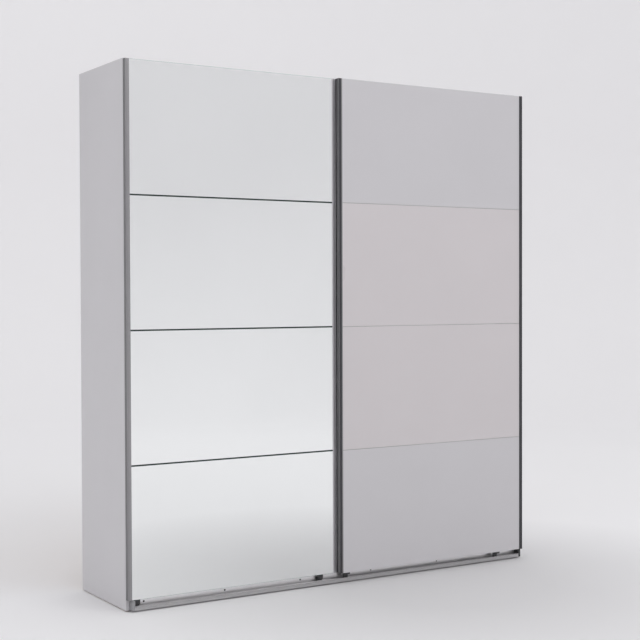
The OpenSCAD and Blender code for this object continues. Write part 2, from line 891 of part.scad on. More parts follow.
module mirror_door_guides() {
    y0 = outer_groove_y + tongue_t / 2 + pass_gap;
    y1 = inner_groove_y + tongue_t / 2;
    left_x = cap_l - inner_x + guide_cap_gap + guide_l / 2;
    color("dimgray")
    for (x = [left_x, mirror_door_x + mirror_door_w - mirror_guide_inset]) {
        board(x - guide_l / 2, x + guide_l / 2, y0, y1, rib_top + 4 * pass_gap, door_clear);
        board(x - guide_l / 2, x + guide_l / 2, y1 - tongue_t, y1, tongue_z, door_clear);
    }
}

guide_inset = 3;

module panel_door_guides() {
    y0 = outer_groove_y - tongue_t / 2;
    y1 = outer_groove_y + tongue_t / 2;
    plate_top = door_clear - 2 * pass_gap;
    color("dimgray")
    for (x = [panel_door_x + guide_left_inset, panel_door_x + panel_door_w - panel_guide_inset]) {
        board(x - guide_l / 2, x + guide_l / 2, panel_door_y + guide_inset, y1,
            plate_top - guide_plate_t, plate_top);
        board(x - guide_l / 2, x + guide_l / 2, panel_door_y + guide_inset, panel_door_y + door_t,
            plate_top - guide_plate_t, door_clear);
        board(x - guide_l / 2, x + guide_l / 2, y0, y1, tongue_z, plate_top);
    }
}

left_side_panel();
right_side_panel();
centre_partition();
left_top_panel();
right_top_panel();
left_bottom_panel();
right_bottom_panel();
left_header();
right_header();
left_plinth();
right_plinth();
left_back_panel();
right_back_panel();
left_hat_shelf();
right_hat_shelf();
left_clothes_rail();
right_clothes_rail();
clothes_rail_sockets();
shelf_pins();
cam_fittings();
cam_bolts();
floor_glides();
wall_brackets();
cabinet_screws();
top_rail();
track_stops();
bottom_rail();
bottom_rail_screws();
left_rail_cap();
right_rail_cap();
top_mirror();
upper_mirror();
lower_mirror();
bottom_mirror();
mirror_backing_boards();
mirror_door_strips();
mirror_door_left_profile();
mirror_door_right_profile();
mirror_door_bars();
mirror_door_seal();
mirror_door_carriages();
mirror_door_axles();
mirror_door_left_wheel();
mirror_door_right_wheel();
mirror_door_screws();
mirror_door_guides();
top_plain_panel();
upper_plain_panel();
lower_plain_panel();
bottom_plain_panel();
panel_door_strips();
panel_door_left_profile();
panel_door_right_profile();
panel_door_bars();
panel_door_arms();
panel_door_axles();
panel_door_left_wheel();
panel_door_right_wheel();
panel_door_screws();
panel_door_guides();
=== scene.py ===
"""Sliding door wardrobe: rounded boards, brushed profiles, mirrors, running gear and a studio."""

import json
import math

import bmesh
import bpy
from bpy.props import FloatProperty, FloatVectorProperty, IntProperty, PointerProperty
from mathutils import Matrix, Vector

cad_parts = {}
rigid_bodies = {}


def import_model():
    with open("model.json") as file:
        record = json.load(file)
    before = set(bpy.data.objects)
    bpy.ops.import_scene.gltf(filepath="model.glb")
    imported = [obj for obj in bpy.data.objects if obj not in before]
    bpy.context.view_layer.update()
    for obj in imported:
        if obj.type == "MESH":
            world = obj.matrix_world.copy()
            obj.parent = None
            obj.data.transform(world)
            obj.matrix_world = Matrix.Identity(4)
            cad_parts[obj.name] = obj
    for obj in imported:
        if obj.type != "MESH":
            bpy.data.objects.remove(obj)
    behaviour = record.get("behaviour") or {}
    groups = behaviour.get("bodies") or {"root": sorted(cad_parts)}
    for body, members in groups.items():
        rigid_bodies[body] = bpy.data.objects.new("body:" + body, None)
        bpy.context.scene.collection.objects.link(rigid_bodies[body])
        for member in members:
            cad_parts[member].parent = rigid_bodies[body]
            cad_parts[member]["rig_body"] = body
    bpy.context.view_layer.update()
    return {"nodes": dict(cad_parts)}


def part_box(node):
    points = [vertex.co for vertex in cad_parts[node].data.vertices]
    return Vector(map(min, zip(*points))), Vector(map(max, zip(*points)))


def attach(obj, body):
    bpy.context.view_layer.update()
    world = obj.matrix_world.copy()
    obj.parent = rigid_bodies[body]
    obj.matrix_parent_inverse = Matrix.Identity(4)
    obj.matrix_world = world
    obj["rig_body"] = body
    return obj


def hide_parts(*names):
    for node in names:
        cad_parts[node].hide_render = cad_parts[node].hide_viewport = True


bl_info = {
    "name": "Sliding Door Wardrobe",
    "version": (1, 0, 0),
    "blender": (4, 5, 0),
    "location": "View3D > Sidebar > Wardrobe",
    "description": "Builds the boards, doors, rails and fittings of a sliding door wardrobe",
    "category": "Object",
}

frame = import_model()

MM = 0.001
MERGE = 0.00001

# Angles between faces: sharp edges are rounded, curved ones are shaded smooth
SHARP = math.radians(25)
ALMOST_FLAT = math.radians(0.5)
CURVED = math.radians(20)

# Parts of a face's normal along an axis: it looks that way, it leans that way, or it is the
# flat end of a turned shape
FACING = 0.9
LEANING = 0.7
FLAT_END = 0.95

# Facets round the turned shapes and the studio
HEAD_STEPS = 24
SHANK_STEPS = 20
TURNED_STEPS = 32
WHEEL_STEPS = 64
COVE_STEPS = 32
ROOM_STEPS = 128

# Screws: the heights of their heads, their shanks, and the share of a shank before its point
RAIL_HEAD = 0.8 * MM
DOOR_HEAD = 1.2 * MM
SHANK_RADIUS = 1.8 * MM
SHANK_SHARE = 0.8

# Noise levels between which a tone or a gloss changes, the pointiness of a worn edge, and the
# depth of a fine relief
DRIFT_START = 0.15
DRIFT_END = 0.85
WEAR_START = 0.52
WEAR_END = 0.62
RELIEF_DEPTH = 0.2 * MM

BOARDS = [
    "left_side_panel", "right_side_panel", "centre_partition", "left_top_panel", "right_top_panel",
    "left_bottom_panel", "right_bottom_panel", "left_header", "right_header", "left_plinth",
    "right_plinth", "left_hat_shelf", "right_hat_shelf",
]
UPRIGHTS = ("left_side_panel", "right_side_panel", "centre_partition")
MIRRORS = ("bottom_mirror", "lower_mirror", "upper_mirror", "top_mirror")
PLAIN_PANELS = ("bottom_plain_panel", "lower_plain_panel", "upper_plain_panel", "top_plain_panel")
WHEELS = (
    "mirror_door_left_wheel", "mirror_door_right_wheel",
    "panel_door_left_wheel", "panel_door_right_wheel",
)
# Name, place, point faced, diameter and power setting of each light
LIGHTS = (
    ("key_light", (2.5, -6.0, 6.5), (0, 0, 1.0), 5.0, "key_power"),
    ("wall_wash", (0.0, 5.5, 7.0), (1.0, 10.0, 4.5), 3.0, "wash_power"),
)
MATERIALS = {}


def length_property(name, description, default_mm, low_mm=0.05, high_mm=50):
    """A length in metres whose default and limits are given in millimetres."""
    return FloatProperty(
        name=name, description=description, default=default_mm * MM, min=low_mm * MM,
        max=high_mm * MM, unit="LENGTH", precision=5,
    )


def colour_property(name, description, colour):
    """A base colour in linear light."""
    return FloatVectorProperty(
        name=name, description=description, default=colour, subtype="COLOR", size=3, min=0, max=1,
    )


class WARDROBE_PG_sizes(bpy.types.PropertyGroup):
    """Rounding and small details of the pieces."""

    board_edge: length_property("Board edge", "Rounding of the edge bands of the boards", 0.6)
    panel_edge: length_property("Panel edge", "Rounding of the plain door panels", 0.9)
    glass_edge: length_property("Glass edge", "Width of the ground edge of a mirror", 1.2)
    profile_edge: length_property("Profile edge", "Rounding of the upright door profiles", 0.3)
    grip_start: FloatProperty(
        name="Grip start", description="Where the groove of a profile starts, as a share of its width",
        default=0.05, min=0.02, max=0.4,
    )
    grip_end: FloatProperty(
        name="Grip end", description="Where the groove of a profile ends, as a share of its width",
        default=0.74, min=0.5, max=0.9,
    )
    grip_depth: length_property("Grip depth", "Depth of the groove of a profile", 0.7, 0.1, 1.2)
    strip_edge: length_property("Strip edge", "Rounding of the strips between the panels", 0.9)
    rail_edge: length_property("Rail edge", "Rounding of the top and bottom rails", 0.35)
    steel_edge: length_property("Steel edge", "Rounding of the pressed steel parts", 0.3)
    plastic_edge: length_property("Plastic edge", "Rounding of the moulded plastic parts", 0.9)
    seal_edge: length_property("Seal edge", "Rounding of the sealing lip", 0.9)
    cap_rim: length_property("Cap rim", "Width of the raised rim on an end cap", 1.6)
    cap_recess: length_property("Cap recess", "Depth of the field inside the rim of an end cap", 0.3)
    recess_length: length_property("Recess length", "Length of the cross recess in a screw head", 4.2)
    recess_width: length_property("Recess width", "Width of the cross recess in a screw head", 0.9)
    hub_recess: length_property("Hub recess", "Depth of the ring between hub and rim of a wheel", 1.1)
    bevel_steps: IntProperty(
        name="Bevel steps", description="Facets in each rounded edge", default=3, min=1, max=6,
    )


class WARDROBE_PG_colours(bpy.types.PropertyGroup):
    """Base colours of the finishes."""

    board: colour_property("Board", "Melamine face of the carcass boards", (0.60, 0.59, 0.605))
    cool_panel: colour_property("Cool panel", "Top and bottom plain door panels", (0.60, 0.588, 0.605))
    warm_panel: colour_property("Warm panel", "Middle plain door panels", (0.635, 0.602, 0.612))
    chipboard: colour_property("Chipboard", "Raw chipboard edges", (0.56, 0.42, 0.27))
    hardboard: colour_property("Hardboard", "Outside of the back panels", (0.30, 0.17, 0.085))
    mirror: colour_property("Mirror", "Silvered glass", (0.93, 0.945, 0.94))
    glass_edge: colour_property("Glass edge", "Ground edge of the mirrors", (0.30, 0.42, 0.38))
    silver: colour_property("Silver aluminium", "Anodised rails and profiles", (0.385, 0.38, 0.39))
    # Painted shade: the plain door's profiles are the same aluminium as the mirror door's, given these
    # darkened copies; the darker one also fills the grooves
    dark_metal: colour_property("Dark aluminium", "Profiles of the plain door", (0.070, 0.070, 0.075))
    rim_metal: colour_property("Grey aluminium", "Rim of the plain door's grip", (0.28, 0.28, 0.285))
    # Painted light: the bottom rail's aluminium is far lighter than the other rails' silver; its front
    # face takes a half-tone copy as painted shade
    guide_rail: colour_property("Guide rail", "Grooves of the bottom rail", (0.88, 0.87, 0.88))
    zinc: colour_property("Zinc", "Zinc plated steel", (0.55, 0.56, 0.58))
    chrome: colour_property("Chrome", "Clothes rails", (0.75, 0.75, 0.77))
    black_steel: colour_property("Blackened steel", "Screws", (0.035, 0.035, 0.035))
    dark_plastic: colour_property("Dark plastic", "Guides, stops, right end cap", (0.035, 0.035, 0.037))
    grey_plastic: colour_property("Grey plastic", "Left end cap", (0.30, 0.30, 0.31))
    black_plastic: colour_property("Black plastic", "Strips between the mirrors", (0.012, 0.012, 0.012))
    pale_plastic: colour_property("Pale plastic", "Strips between the plain panels", (0.46, 0.46, 0.46))
    nylon: colour_property("Nylon", "Floor glides", (0.72, 0.72, 0.70))
    acetal: colour_property("Acetal", "Wheels", (0.66, 0.66, 0.62))
    rubber: colour_property("Rubber", "Sealing lip", (0.016, 0.016, 0.017))


class WARDROBE_PG_stage(bpy.types.PropertyGroup):
    """Studio, lights and camera."""

    room_radius: FloatProperty(
        name="Room radius", description="Radius of the round studio", default=10.0, min=5.0,
        unit="LENGTH",
    )
    room_height: FloatProperty(
        name="Room height", description="Height of the studio wall", default=7.5, min=4.0,
        unit="LENGTH",
    )
    cove: FloatProperty(
        name="Cove", description="Radius of the curve from the floor to the wall", default=3.0,
        min=0.5, unit="LENGTH",
    )
    room_colour: colour_property("Room", "Colour of the wall and the far floor", (0.93, 0.92, 0.93))
    # The next four settings paint a shadow onto the floor in front of the wardrobe: how dark it is,
    # where it centres, and where it fades out
    floor_share: FloatProperty(
        name="Near floor", description="Brightness of the darker floor against the wall",
        default=0.80, min=0.1, max=1,
    )
    dim_place: FloatVectorProperty(
        name="Dim place", description="Middle of the darker part of the floor",
        default=(0.35, -0.45, 0), subtype="TRANSLATION", size=3,
    )
    dim_start: FloatProperty(
        name="Dim start", description="Radius where the floor starts to lighten", default=0.45,
        min=0, unit="LENGTH",
    )
    dim_end: FloatProperty(
        name="Dim end", description="Radius where the floor is as light as the wall", default=1.7,
        min=0, unit="LENGTH",
    )
    sky: FloatProperty(
        name="Sky", description="Strength of the light from above", default=0.86, min=0,
    )
    sky_colour: colour_property("Sky colour", "Colour of the light from above", (0.98, 0.99, 1.0))
    key_power: FloatProperty(
        name="Key light", description="Power of the large light in front", default=90, min=0,
        unit="POWER",
    )
    wash_power: FloatProperty(
        name="Wall wash", description="Power of the light on the wall behind", default=16, min=0,
        unit="POWER",
    )
    camera_place: FloatVectorProperty(
        name="Camera", description="Place of the camera", default=(-3.0528, -4.9274, 1.2406),
        subtype="TRANSLATION", size=3,
    )
    yaw: FloatProperty(
        name="Yaw", description="Turn of the camera towards +X", default=math.radians(31.991),
        unit="ROTATION",
    )
    pitch: FloatProperty(
        name="Pitch", description="Tilt of the camera above the horizon",
        default=math.radians(-1.1362), unit="ROTATION",
    )
    roll: FloatProperty(
        name="Roll", description="Turn of the camera about its own axis",
        default=math.radians(-0.1824), unit="ROTATION",
    )
    lens: FloatProperty(name="Lens", description="Focal length in millimetres", default=73.64, min=10)


# ---- Finishes ----


def add_node(tree, kind, inputs=None, **settings):
    """A shader node with its settings, and its inputs set or linked."""
    node = tree.nodes.new(kind)
    for key, value in settings.items():
        setattr(node, key, value)
    for key, value in (inputs or {}).items():
        socket = node.inputs[key]
        if isinstance(value, bpy.types.NodeSocket):
            tree.links.new(value, socket)
        else:
            socket.default_value = value
    return node


def new_material(name):
    """A material, its node tree and its Principled shader."""
    material = bpy.data.materials.new(name)
    material.use_nodes = True
    shader = material.node_tree.nodes["Principled BSDF"]
    return material, material.node_tree, shader


def object_place(tree, stretch=(1, 1, 1)):
    """The place in object space, scaled by stretch."""
    place = add_node(tree, "ShaderNodeTexCoord")
    mapping = add_node(
        tree, "ShaderNodeMapping", {"Vector": place.outputs["Object"], "Scale": stretch},
    )
    return mapping.outputs["Vector"]


def grain(tree, scale, stretch=(1, 1, 1), detail=6.0):
    """A noise in object space: stretch below 1 draws it out along that axis."""
    noise = add_node(
        tree, "ShaderNodeTexNoise",
        {"Vector": object_place(tree, stretch), "Scale": scale, "Detail": detail},
    )
    return noise.outputs["Fac"]


def cells(tree, scale, output="Color", stretch=(1, 1, 1)):
    """A pattern of cells in object space."""
    voronoi = add_node(
        tree, "ShaderNodeTexVoronoi", {"Vector": object_place(tree, stretch), "Scale": scale},
    )
    return voronoi.outputs[output]


def ramp(tree, factor, stops):
    """Colours along a factor; each stop is a place from 0 to 1 and a colour."""
    node = add_node(tree, "ShaderNodeValToRGB", {"Fac": factor})
    band = node.color_ramp
    while len(band.elements) < len(stops):
        band.elements.new(0.5)
    for element, (place, colour) in zip(band.elements, stops):
        element.position = place
        element.color = (*colour, 1)
    return node.outputs["Color"]


def spread(tree, factor, low, high, start=DRIFT_START, end=DRIFT_END):
    """A value that goes from low to high while the factor goes from start to end."""
    node = add_node(
        tree, "ShaderNodeMapRange",
        {"Value": factor, "From Min": start, "From Max": end, "To Min": low, "To Max": high},
    )
    return node.outputs["Result"]


def mixed(tree, factor, first, second):
    """A blend of two colours."""
    node = add_node(tree, "ShaderNodeMix", data_type="RGBA")
    for index, value in ((0, factor), (6, first), (7, second)):
        if isinstance(value, bpy.types.NodeSocket):
            tree.links.new(value, node.inputs[index])
        else:
            node.inputs[index].default_value = value
    return node.outputs[2]


def bump(tree, shader, height, strength, distance):
    """Gives a shader the relief of a height."""
    node = add_node(
        tree, "ShaderNodeBump", {"Height": height, "Strength": strength, "Distance": distance},
    )
    tree.links.new(node.outputs["Normal"], shader.inputs["Normal"])


def shade(colour, share):
    """A colour made darker or lighter by a share."""
    return tuple(min(1.0, value * share) for value in colour)


def worn(tree, base, colour, amount):
    """Lightens the rounded edges, where a surface is handled and rubbed."""
    geometry = add_node(tree, "ShaderNodeNewGeometry")
    edge = spread(tree, geometry.outputs["Pointiness"], 0.0, amount, WEAR_START, WEAR_END)
    return mixed(tree, edge, base, (*colour, 1))


def surface(
    name, colour, roughness, metallic=0.0, fleck=0.04, scale=30.0, stretch=(1, 1, 1),
    rough_spread=0.15, texture=700.0, relief=0.08, wear=0.25,
):
    """A finish with drifting tone, uneven gloss, a fine relief and rubbed edges."""
    material, tree, shader = new_material(name)
    tone = grain(tree, scale, stretch)
    stops = [(DRIFT_START, shade(colour, 1 - fleck)), (DRIFT_END, shade(colour, 1 + fleck))]
    base = worn(tree, ramp(tree, tone, stops), shade(colour, 1.35), wear)
    tree.links.new(base, shader.inputs["Base Color"])
    gloss = grain(tree, scale / 3, stretch, 4.0)
    low = roughness * (1 - rough_spread)
    high = min(1.0, roughness * (1 + rough_spread))
    tree.links.new(spread(tree, gloss, low, high), shader.inputs["Roughness"])
    shader.inputs["Metallic"].default_value = metallic
    bump(tree, shader, grain(tree, texture, stretch, 3.0), relief, RELIEF_DEPTH)
    return material


def brushed(name, colour, roughness, metallic, stretch, fleck=0.08, wear=0.25):
    """Aluminium with fine lines along the axis that stretch draws out."""
    return surface(
        name, colour, roughness, metallic, fleck=fleck, scale=900.0, stretch=stretch,
        texture=2200.0, relief=0.10, wear=wear,
    )


def chipboard_finish(name, colour):
    """Pressed chips that lie along the board, dusted over by sawing."""
    chip_scale = 420.0
    chip_lie = (1, 1, 0.55)
    material, tree, shader = new_material(name)
    chips = cells(tree, chip_scale, "Color", chip_lie)
    tone = ramp(
        tree, chips,
        [(0.15, shade(colour, 0.62)), (0.5, colour), (0.85, shade(colour, 1.3))],
    )
    dust = spread(tree, grain(tree, 160.0), 0.0, 0.5)
    dusted = mixed(tree, dust, tone, (*shade(colour, 0.8), 1))
    tree.links.new(dusted, shader.inputs["Base Color"])
    shader.inputs["Roughness"].default_value = 0.85
    bump(tree, shader, cells(tree, chip_scale, "Distance", chip_lie), 0.5, 0.0004)
    return material


def hardboard_finish(name, colour):
    """Brown fibre board with the pressed mesh of its wire screen."""
    material, tree, shader = new_material(name)
    fibre = grain(tree, 90.0, (1, 1, 0.35), 9.0)
    tone = ramp(
        tree, fibre,
        [(0.25, shade(colour, 0.72)), (0.55, colour), (0.8, shade(colour, 1.3))],
    )
    tree.links.new(tone, shader.inputs["Base Color"])
    tree.links.new(spread(tree, grain(tree, 12.0), 0.55, 0.75), shader.inputs["Roughness"])
    threads = []
    for direction in ("X", "Z"):
        wave = add_node(
            tree, "ShaderNodeTexWave",
            {"Vector": object_place(tree), "Scale": 90.0, "Distortion": 0.6, "Detail": 1.0},
            bands_direction=direction,
        )
        threads.append(wave.outputs["Fac"])
    screen = add_node(tree, "ShaderNodeMath", operation="MULTIPLY")
    tree.links.new(threads[0], screen.inputs[0])
    tree.links.new(threads[1], screen.inputs[1])
    bump(tree, shader, screen.outputs[0], 0.35, 0.0003)
    return material


def zinc_finish(name, colour, roughness=0.34):
    """Plated steel with the faint spangle of the zinc."""
    material, tree, shader = new_material(name)
    spangle = cells(tree, 260.0)
    tone = ramp(
        tree, spangle, [(0.1, shade(colour, 0.82)), (0.9, shade(colour, 1.18))],
    )
    tree.links.new(worn(tree, tone, shade(colour, 1.3), 0.3), shader.inputs["Base Color"])
    gloss = spread(tree, spangle, roughness * 0.8, roughness * 1.25, 0.0, 1.0)
    tree.links.new(gloss, shader.inputs["Roughness"])
    shader.inputs["Metallic"].default_value = 1.0
    bump(tree, shader, grain(tree, 500.0), 0.06, RELIEF_DEPTH)
    return material


def mirror_finish(name, colour):
    """Silvered glass with a barely uneven tint and a trace of dust in its gloss."""
    material, tree, shader = new_material(name)
    drift = grain(tree, 1.4, detail=3.0)
    tone = ramp(tree, drift, [(0.3, shade(colour, 0.985)), (0.7, shade(colour, 1.01))])
    tree.links.new(tone, shader.inputs["Base Color"])
    dust = grain(tree, 220.0, detail=8.0)
    tree.links.new(spread(tree, dust, 0.004, 0.03, 0.55, 0.85), shader.inputs["Roughness"])
    shader.inputs["Metallic"].default_value = 1.0
    return material


def seal_finish(name, colour):
    """Black rubber with fine ribs along the lip."""
    material, tree, shader = new_material(name)
    cloud = grain(tree, 60.0, (1, 1, 0.2))
    tone = ramp(tree, cloud, [(0.3, shade(colour, 0.8)), (0.7, shade(colour, 1.6))])
    tree.links.new(tone, shader.inputs["Base Color"])
    tree.links.new(spread(tree, cloud, 0.5, 0.7), shader.inputs["Roughness"])
    ribs = add_node(
        tree, "ShaderNodeTexWave",
        {"Vector": object_place(tree), "Scale": 130.0, "Distortion": 0.2},
        bands_direction="X",
    )
    bump(tree, shader, ribs.outputs["Fac"], 0.4, 0.0004)
    return material


def studio_paint(name, stage):
    """Matt paint, with a painted contact shadow that darkens the floor in front of the wardrobe."""
    material, tree, shader = new_material(name)
    reach = add_node(
        tree, "ShaderNodeVectorMath", {0: object_place(tree), 1: tuple(stage.dim_place)},
        operation="DISTANCE",
    ).outputs["Value"]
    share = spread(tree, reach, 0.0, 1.0, stage.dim_start, stage.dim_end)
    cloud = grain(tree, 0.8, detail=2.0)
    pale = ramp(
        tree, cloud, [(0.3, shade(stage.room_colour, 0.995)), (0.7, stage.room_colour)],
    )
    # painted shadow: near the wardrobe the floor takes a darker copy of the room colour
    dim = (*shade(stage.room_colour, stage.floor_share), 1)
    tree.links.new(mixed(tree, share, dim, pale), shader.inputs["Base Color"])
    shader.inputs["Roughness"].default_value = 0.9
    shader.inputs["Specular IOR Level"].default_value = 0.1
    return material


def make_finishes(colours):
    """Every finish of the wardrobe, under the short name that the pieces use."""
    along_x = (0.02, 1, 1)
    along_z = (1, 1, 0.02)
    MATERIALS.update(
        board=surface("melamine_board", colours.board, 0.42, fleck=0.02, scale=6.0,
                      texture=1500.0, relief=0.10),
        cool_panel=surface("cool_panel_face", colours.cool_panel, 0.30, fleck=0.018, scale=3.0,
                           texture=1100.0, relief=0.07),
        warm_panel=surface("warm_panel_face", colours.warm_panel, 0.30, fleck=0.018, scale=3.0,
                           texture=1100.0, relief=0.07),
        foil=surface("white_foil", colours.board, 0.5, fleck=0.02, scale=8.0, texture=400.0),
        chipboard=chipboard_finish("raw_chipboard_edge", colours.chipboard),
        hardboard=hardboard_finish("brown_hardboard", colours.hardboard),
        mirror=mirror_finish("silvered_glass", colours.mirror),
        glass_edge=surface("ground_glass_edge", colours.glass_edge, 0.25, fleck=0.12, scale=200.0,
                           wear=0.1),
        backing=surface("mirror_backing_paint", shade(colours.grey_plastic, 0.8), 0.6),
        # painted shade: the left mirror door's profile, the rails' aluminium darkened to 0.8
        silver_z=brushed("brushed_aluminium_upright", shade(colours.silver, 0.8), 0.33, 1.0,
                         along_z, fleck=0.07, wear=0.45),
        # painted light: the right mirror door's profile, the same aluminium lightened 1.75 times
        bright_z=brushed("pale_aluminium_upright", shade(colours.silver, 1.75), 0.33, 1.0,
                         along_z, fleck=0.07, wear=0.3),
        silver_x=brushed("brushed_aluminium_rail", colours.silver, 0.35, 1.0, along_x,
                         fleck=0.07, wear=0.45),
        # painted shade: the plain door's profiles, darkest on the right profile and in the groove of
        # the left one, grey on its front rim
        dark_z=brushed("dark_anodised_upright", colours.dark_metal, 0.36, 0.85, along_z,
                       fleck=0.10, wear=0.35),
        rim_z=brushed("grey_anodised_upright", colours.rim_metal, 0.36, 0.85, along_z,
                      wear=0.35),
        # painted shade: the outer side of the plain door's left profile, its rim colour darkened to 0.6
        edge_z=brushed("shaded_anodised_upright", shade(colours.rim_metal, 0.6), 0.4, 0.85,
                       along_z),
        # painted shade: the outer side of the left mirror door's profile, the same aluminium at half
        # tone
        shaded_z=brushed("mill_aluminium_upright", shade(colours.silver, 0.5), 0.42, 0.9,
                         along_z, fleck=0.07),
        # painted light in the rail's grooves and painted shade on its front face, two copies of one
        # aluminium
        guide_grooves=brushed("pale_aluminium_rail", colours.guide_rail, 0.32, 0.9, along_x,
                              fleck=0.05, wear=0.3),
        guide_front=brushed("satin_aluminium_rail", shade(colours.guide_rail, 0.5), 0.36, 0.8,
                            along_x, fleck=0.05, wear=0.3),
        zinc=zinc_finish("zinc_plated_steel", colours.zinc),
        cast_zinc=zinc_finish("cast_zinc_fitting", shade(colours.zinc, 0.85), 0.48),
        chrome=surface("polished_chrome", colours.chrome, 0.09, 1.0, fleck=0.02, scale=14.0,
                       stretch=along_x, rough_spread=0.4, relief=0.02, wear=0.2),
        black_steel=surface("blackened_steel", colours.black_steel, 0.4, 0.7, fleck=0.2,
                            scale=300.0, wear=0.6),
        dark_plastic=surface("dark_moulded_plastic", colours.dark_plastic, 0.5, fleck=0.15,
                             scale=120.0, texture=1300.0, relief=0.2),
        grey_plastic=surface("grey_moulded_plastic", colours.grey_plastic, 0.5, fleck=0.06,
                             scale=120.0, texture=1300.0, relief=0.2),
        black_plastic=surface("black_strip_plastic", colours.black_plastic, 0.42, fleck=0.3,
                              scale=160.0, stretch=along_x, wear=0.15),
        pale_plastic=surface("pale_strip_plastic", colours.pale_plastic, 0.42, fleck=0.05,
                             scale=160.0, stretch=along_x, wear=0.15),
        nylon=surface("white_nylon", colours.nylon, 0.45, fleck=0.03, scale=80.0),
        acetal=surface("wheel_acetal", colours.acetal, 0.3, fleck=0.05, scale=150.0),
        rubber=seal_finish("seal_rubber_ribbed", colours.rubber),
    )


# ---- Shapes ----


def soften(bm, radius, steps, edges=None, shortest=3 * MM):
    """Rounds the sharp edges that are longer than shortest."""
    if edges is None:
        edges = [
            e for e in bm.edges
            if len(e.link_faces) == 2
            and e.calc_face_angle(0) > SHARP
            and e.calc_length() > shortest
        ]
    made = bmesh.ops.bevel(
        bm, geom=edges, offset=radius, offset_type="OFFSET", segments=steps, profile=0.5,
        affect="EDGES", clamp_overlap=True, material=-1,
    )
    for face in made["faces"]:
        face.smooth = True


def block(bm, low, high):
    """A block between two corners; returns its vertices."""
    made = bmesh.ops.create_cube(bm, size=1)["verts"]
    size = Vector(high) - Vector(low)
    bmesh.ops.scale(bm, vec=size, verts=made)
    bmesh.ops.translate(bm, vec=(Vector(high) + Vector(low)) / 2, verts=made)
    return made


def turned(bm, profile, place, axis, steps, closed=False):
    """Spins a line of (radius, distance along the axis) points round the axis through place."""
    along = Vector(axis).normalized()
    across = along.orthogonal().normalized()
    points = [bm.verts.new(Vector(place) + across * r + along * a) for r, a in profile]
    pairs = list(zip(points, points[1:]))
    if closed:
        pairs.append((points[-1], points[0]))
    edges = [bm.edges.new(pair) for pair in pairs]
    bmesh.ops.spin(
        bm, geom=points + edges, cent=place, axis=along, angle=2 * math.pi, steps=steps,
        use_merge=True,
    )
    bmesh.ops.remove_doubles(bm, verts=bm.verts, dist=MERGE)


def smooth_sides(bm, axis):
    """Shades turned shapes smooth, but not their flat ends across the axis 0, 1 or 2."""
    for face in bm.faces:
        face.smooth = abs(face.normal[axis]) < FLAT_END


def sink(bm, faces, depth):
    """Pushes a region of faces in by the vector depth, with walls round it; returns its floor."""
    made = bmesh.ops.extrude_face_region(bm, geom=faces)["geom"]
    verts = [item for item in made if isinstance(item, bmesh.types.BMVert)]
    bmesh.ops.translate(bm, vec=depth, verts=verts)
    bmesh.ops.delete(bm, geom=faces, context="FACES")
    return [item for item in made if isinstance(item, bmesh.types.BMFace)]


def merged_copy(node):
    """A copy of a CAD node with its triangles merged into whole faces."""
    bm = bmesh.new()
    bm.from_mesh(frame["nodes"][node].data)
    bmesh.ops.remove_doubles(bm, verts=bm.verts, dist=MERGE)
    bmesh.ops.dissolve_limit(
        bm, angle_limit=ALMOST_FLAT, verts=bm.verts, edges=bm.edges, use_dissolve_boundaries=False,
    )
    for face in bm.faces:
        face.material_index = 0
        angles = [e.calc_face_angle(0) for e in face.edges if len(e.link_faces) == 2]
        face.smooth = any(ALMOST_FLAT < angle < CURVED for angle in angles)
    return bm


def place_piece(bm, name, nodes, finishes):
    """Turns a bmesh into a piece that stands for CAD nodes and rides on their body."""
    bmesh.ops.recalc_face_normals(bm, faces=bm.faces)
    mesh = bpy.data.meshes.new(name)
    bm.to_mesh(mesh)
    bm.free()
    for finish in finishes:
        mesh.materials.append(MATERIALS[finish])
    piece = bpy.data.objects.new(name, mesh)
    bpy.context.scene.collection.objects.link(piece)
    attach(piece, frame["nodes"][nodes[0]]["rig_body"])
    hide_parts(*nodes)
    return piece


def rounded_piece(node, finish, radius, steps):
    """A piece with the shape of its CAD node and rounded edges."""
    bm = merged_copy(node)
    soften(bm, radius, steps)
    return place_piece(bm, f"{node}_piece", [node], [finish])


def screw_head(bm, place, axis, radius, height, sizes):
    """A pan head with a cross recess: its seat is at place and its top points along axis."""
    along = Vector(axis)
    side = along.orthogonal().normalized()
    other = along.cross(side)
    head = bmesh.new()
    profile = [
        (radius, 0.0), (radius, height * 0.45), (radius * 0.93, height * 0.75),
        (radius * 0.8, height * 0.93), (radius * 0.62, height), (0.0, height),
    ]
    turned(head, profile, place, along, HEAD_STEPS)
    bmesh.ops.holes_fill(head, edges=[e for e in head.edges if e.is_boundary], sides=0)
    top = Vector(place) + along * height
    half_long = min(sizes.recess_length, radius * 1.15) / 2
    half_wide = sizes.recess_width / 2
    for direction in (side, other):
        for offset in (-half_long, -half_wide, half_wide, half_long):
            bmesh.ops.bisect_plane(
                head, geom=head.verts[:] + head.edges[:] + head.faces[:], dist=MERGE,
                plane_co=top + direction * offset, plane_no=direction,
            )
    cross = []
    for face in head.faces:
        middle = face.calc_center_median() - top
        reach = sorted((abs(middle.dot(side)), abs(middle.dot(other))))
        on_top = abs(middle.dot(along)) < height * 0.02
        if on_top and reach[0] < half_wide and reach[1] < half_long:
            cross.append(face)
    if not cross:
        raise ValueError("the screw head has no room for its recess")
    sink(head, cross, -along * height * 0.55)
    bmesh.ops.recalc_face_normals(head, faces=head.faces)
    mesh = bpy.data.meshes.new("head")
    head.to_mesh(mesh)
    head.free()
    bm.from_mesh(mesh)
    bpy.data.meshes.remove(mesh)


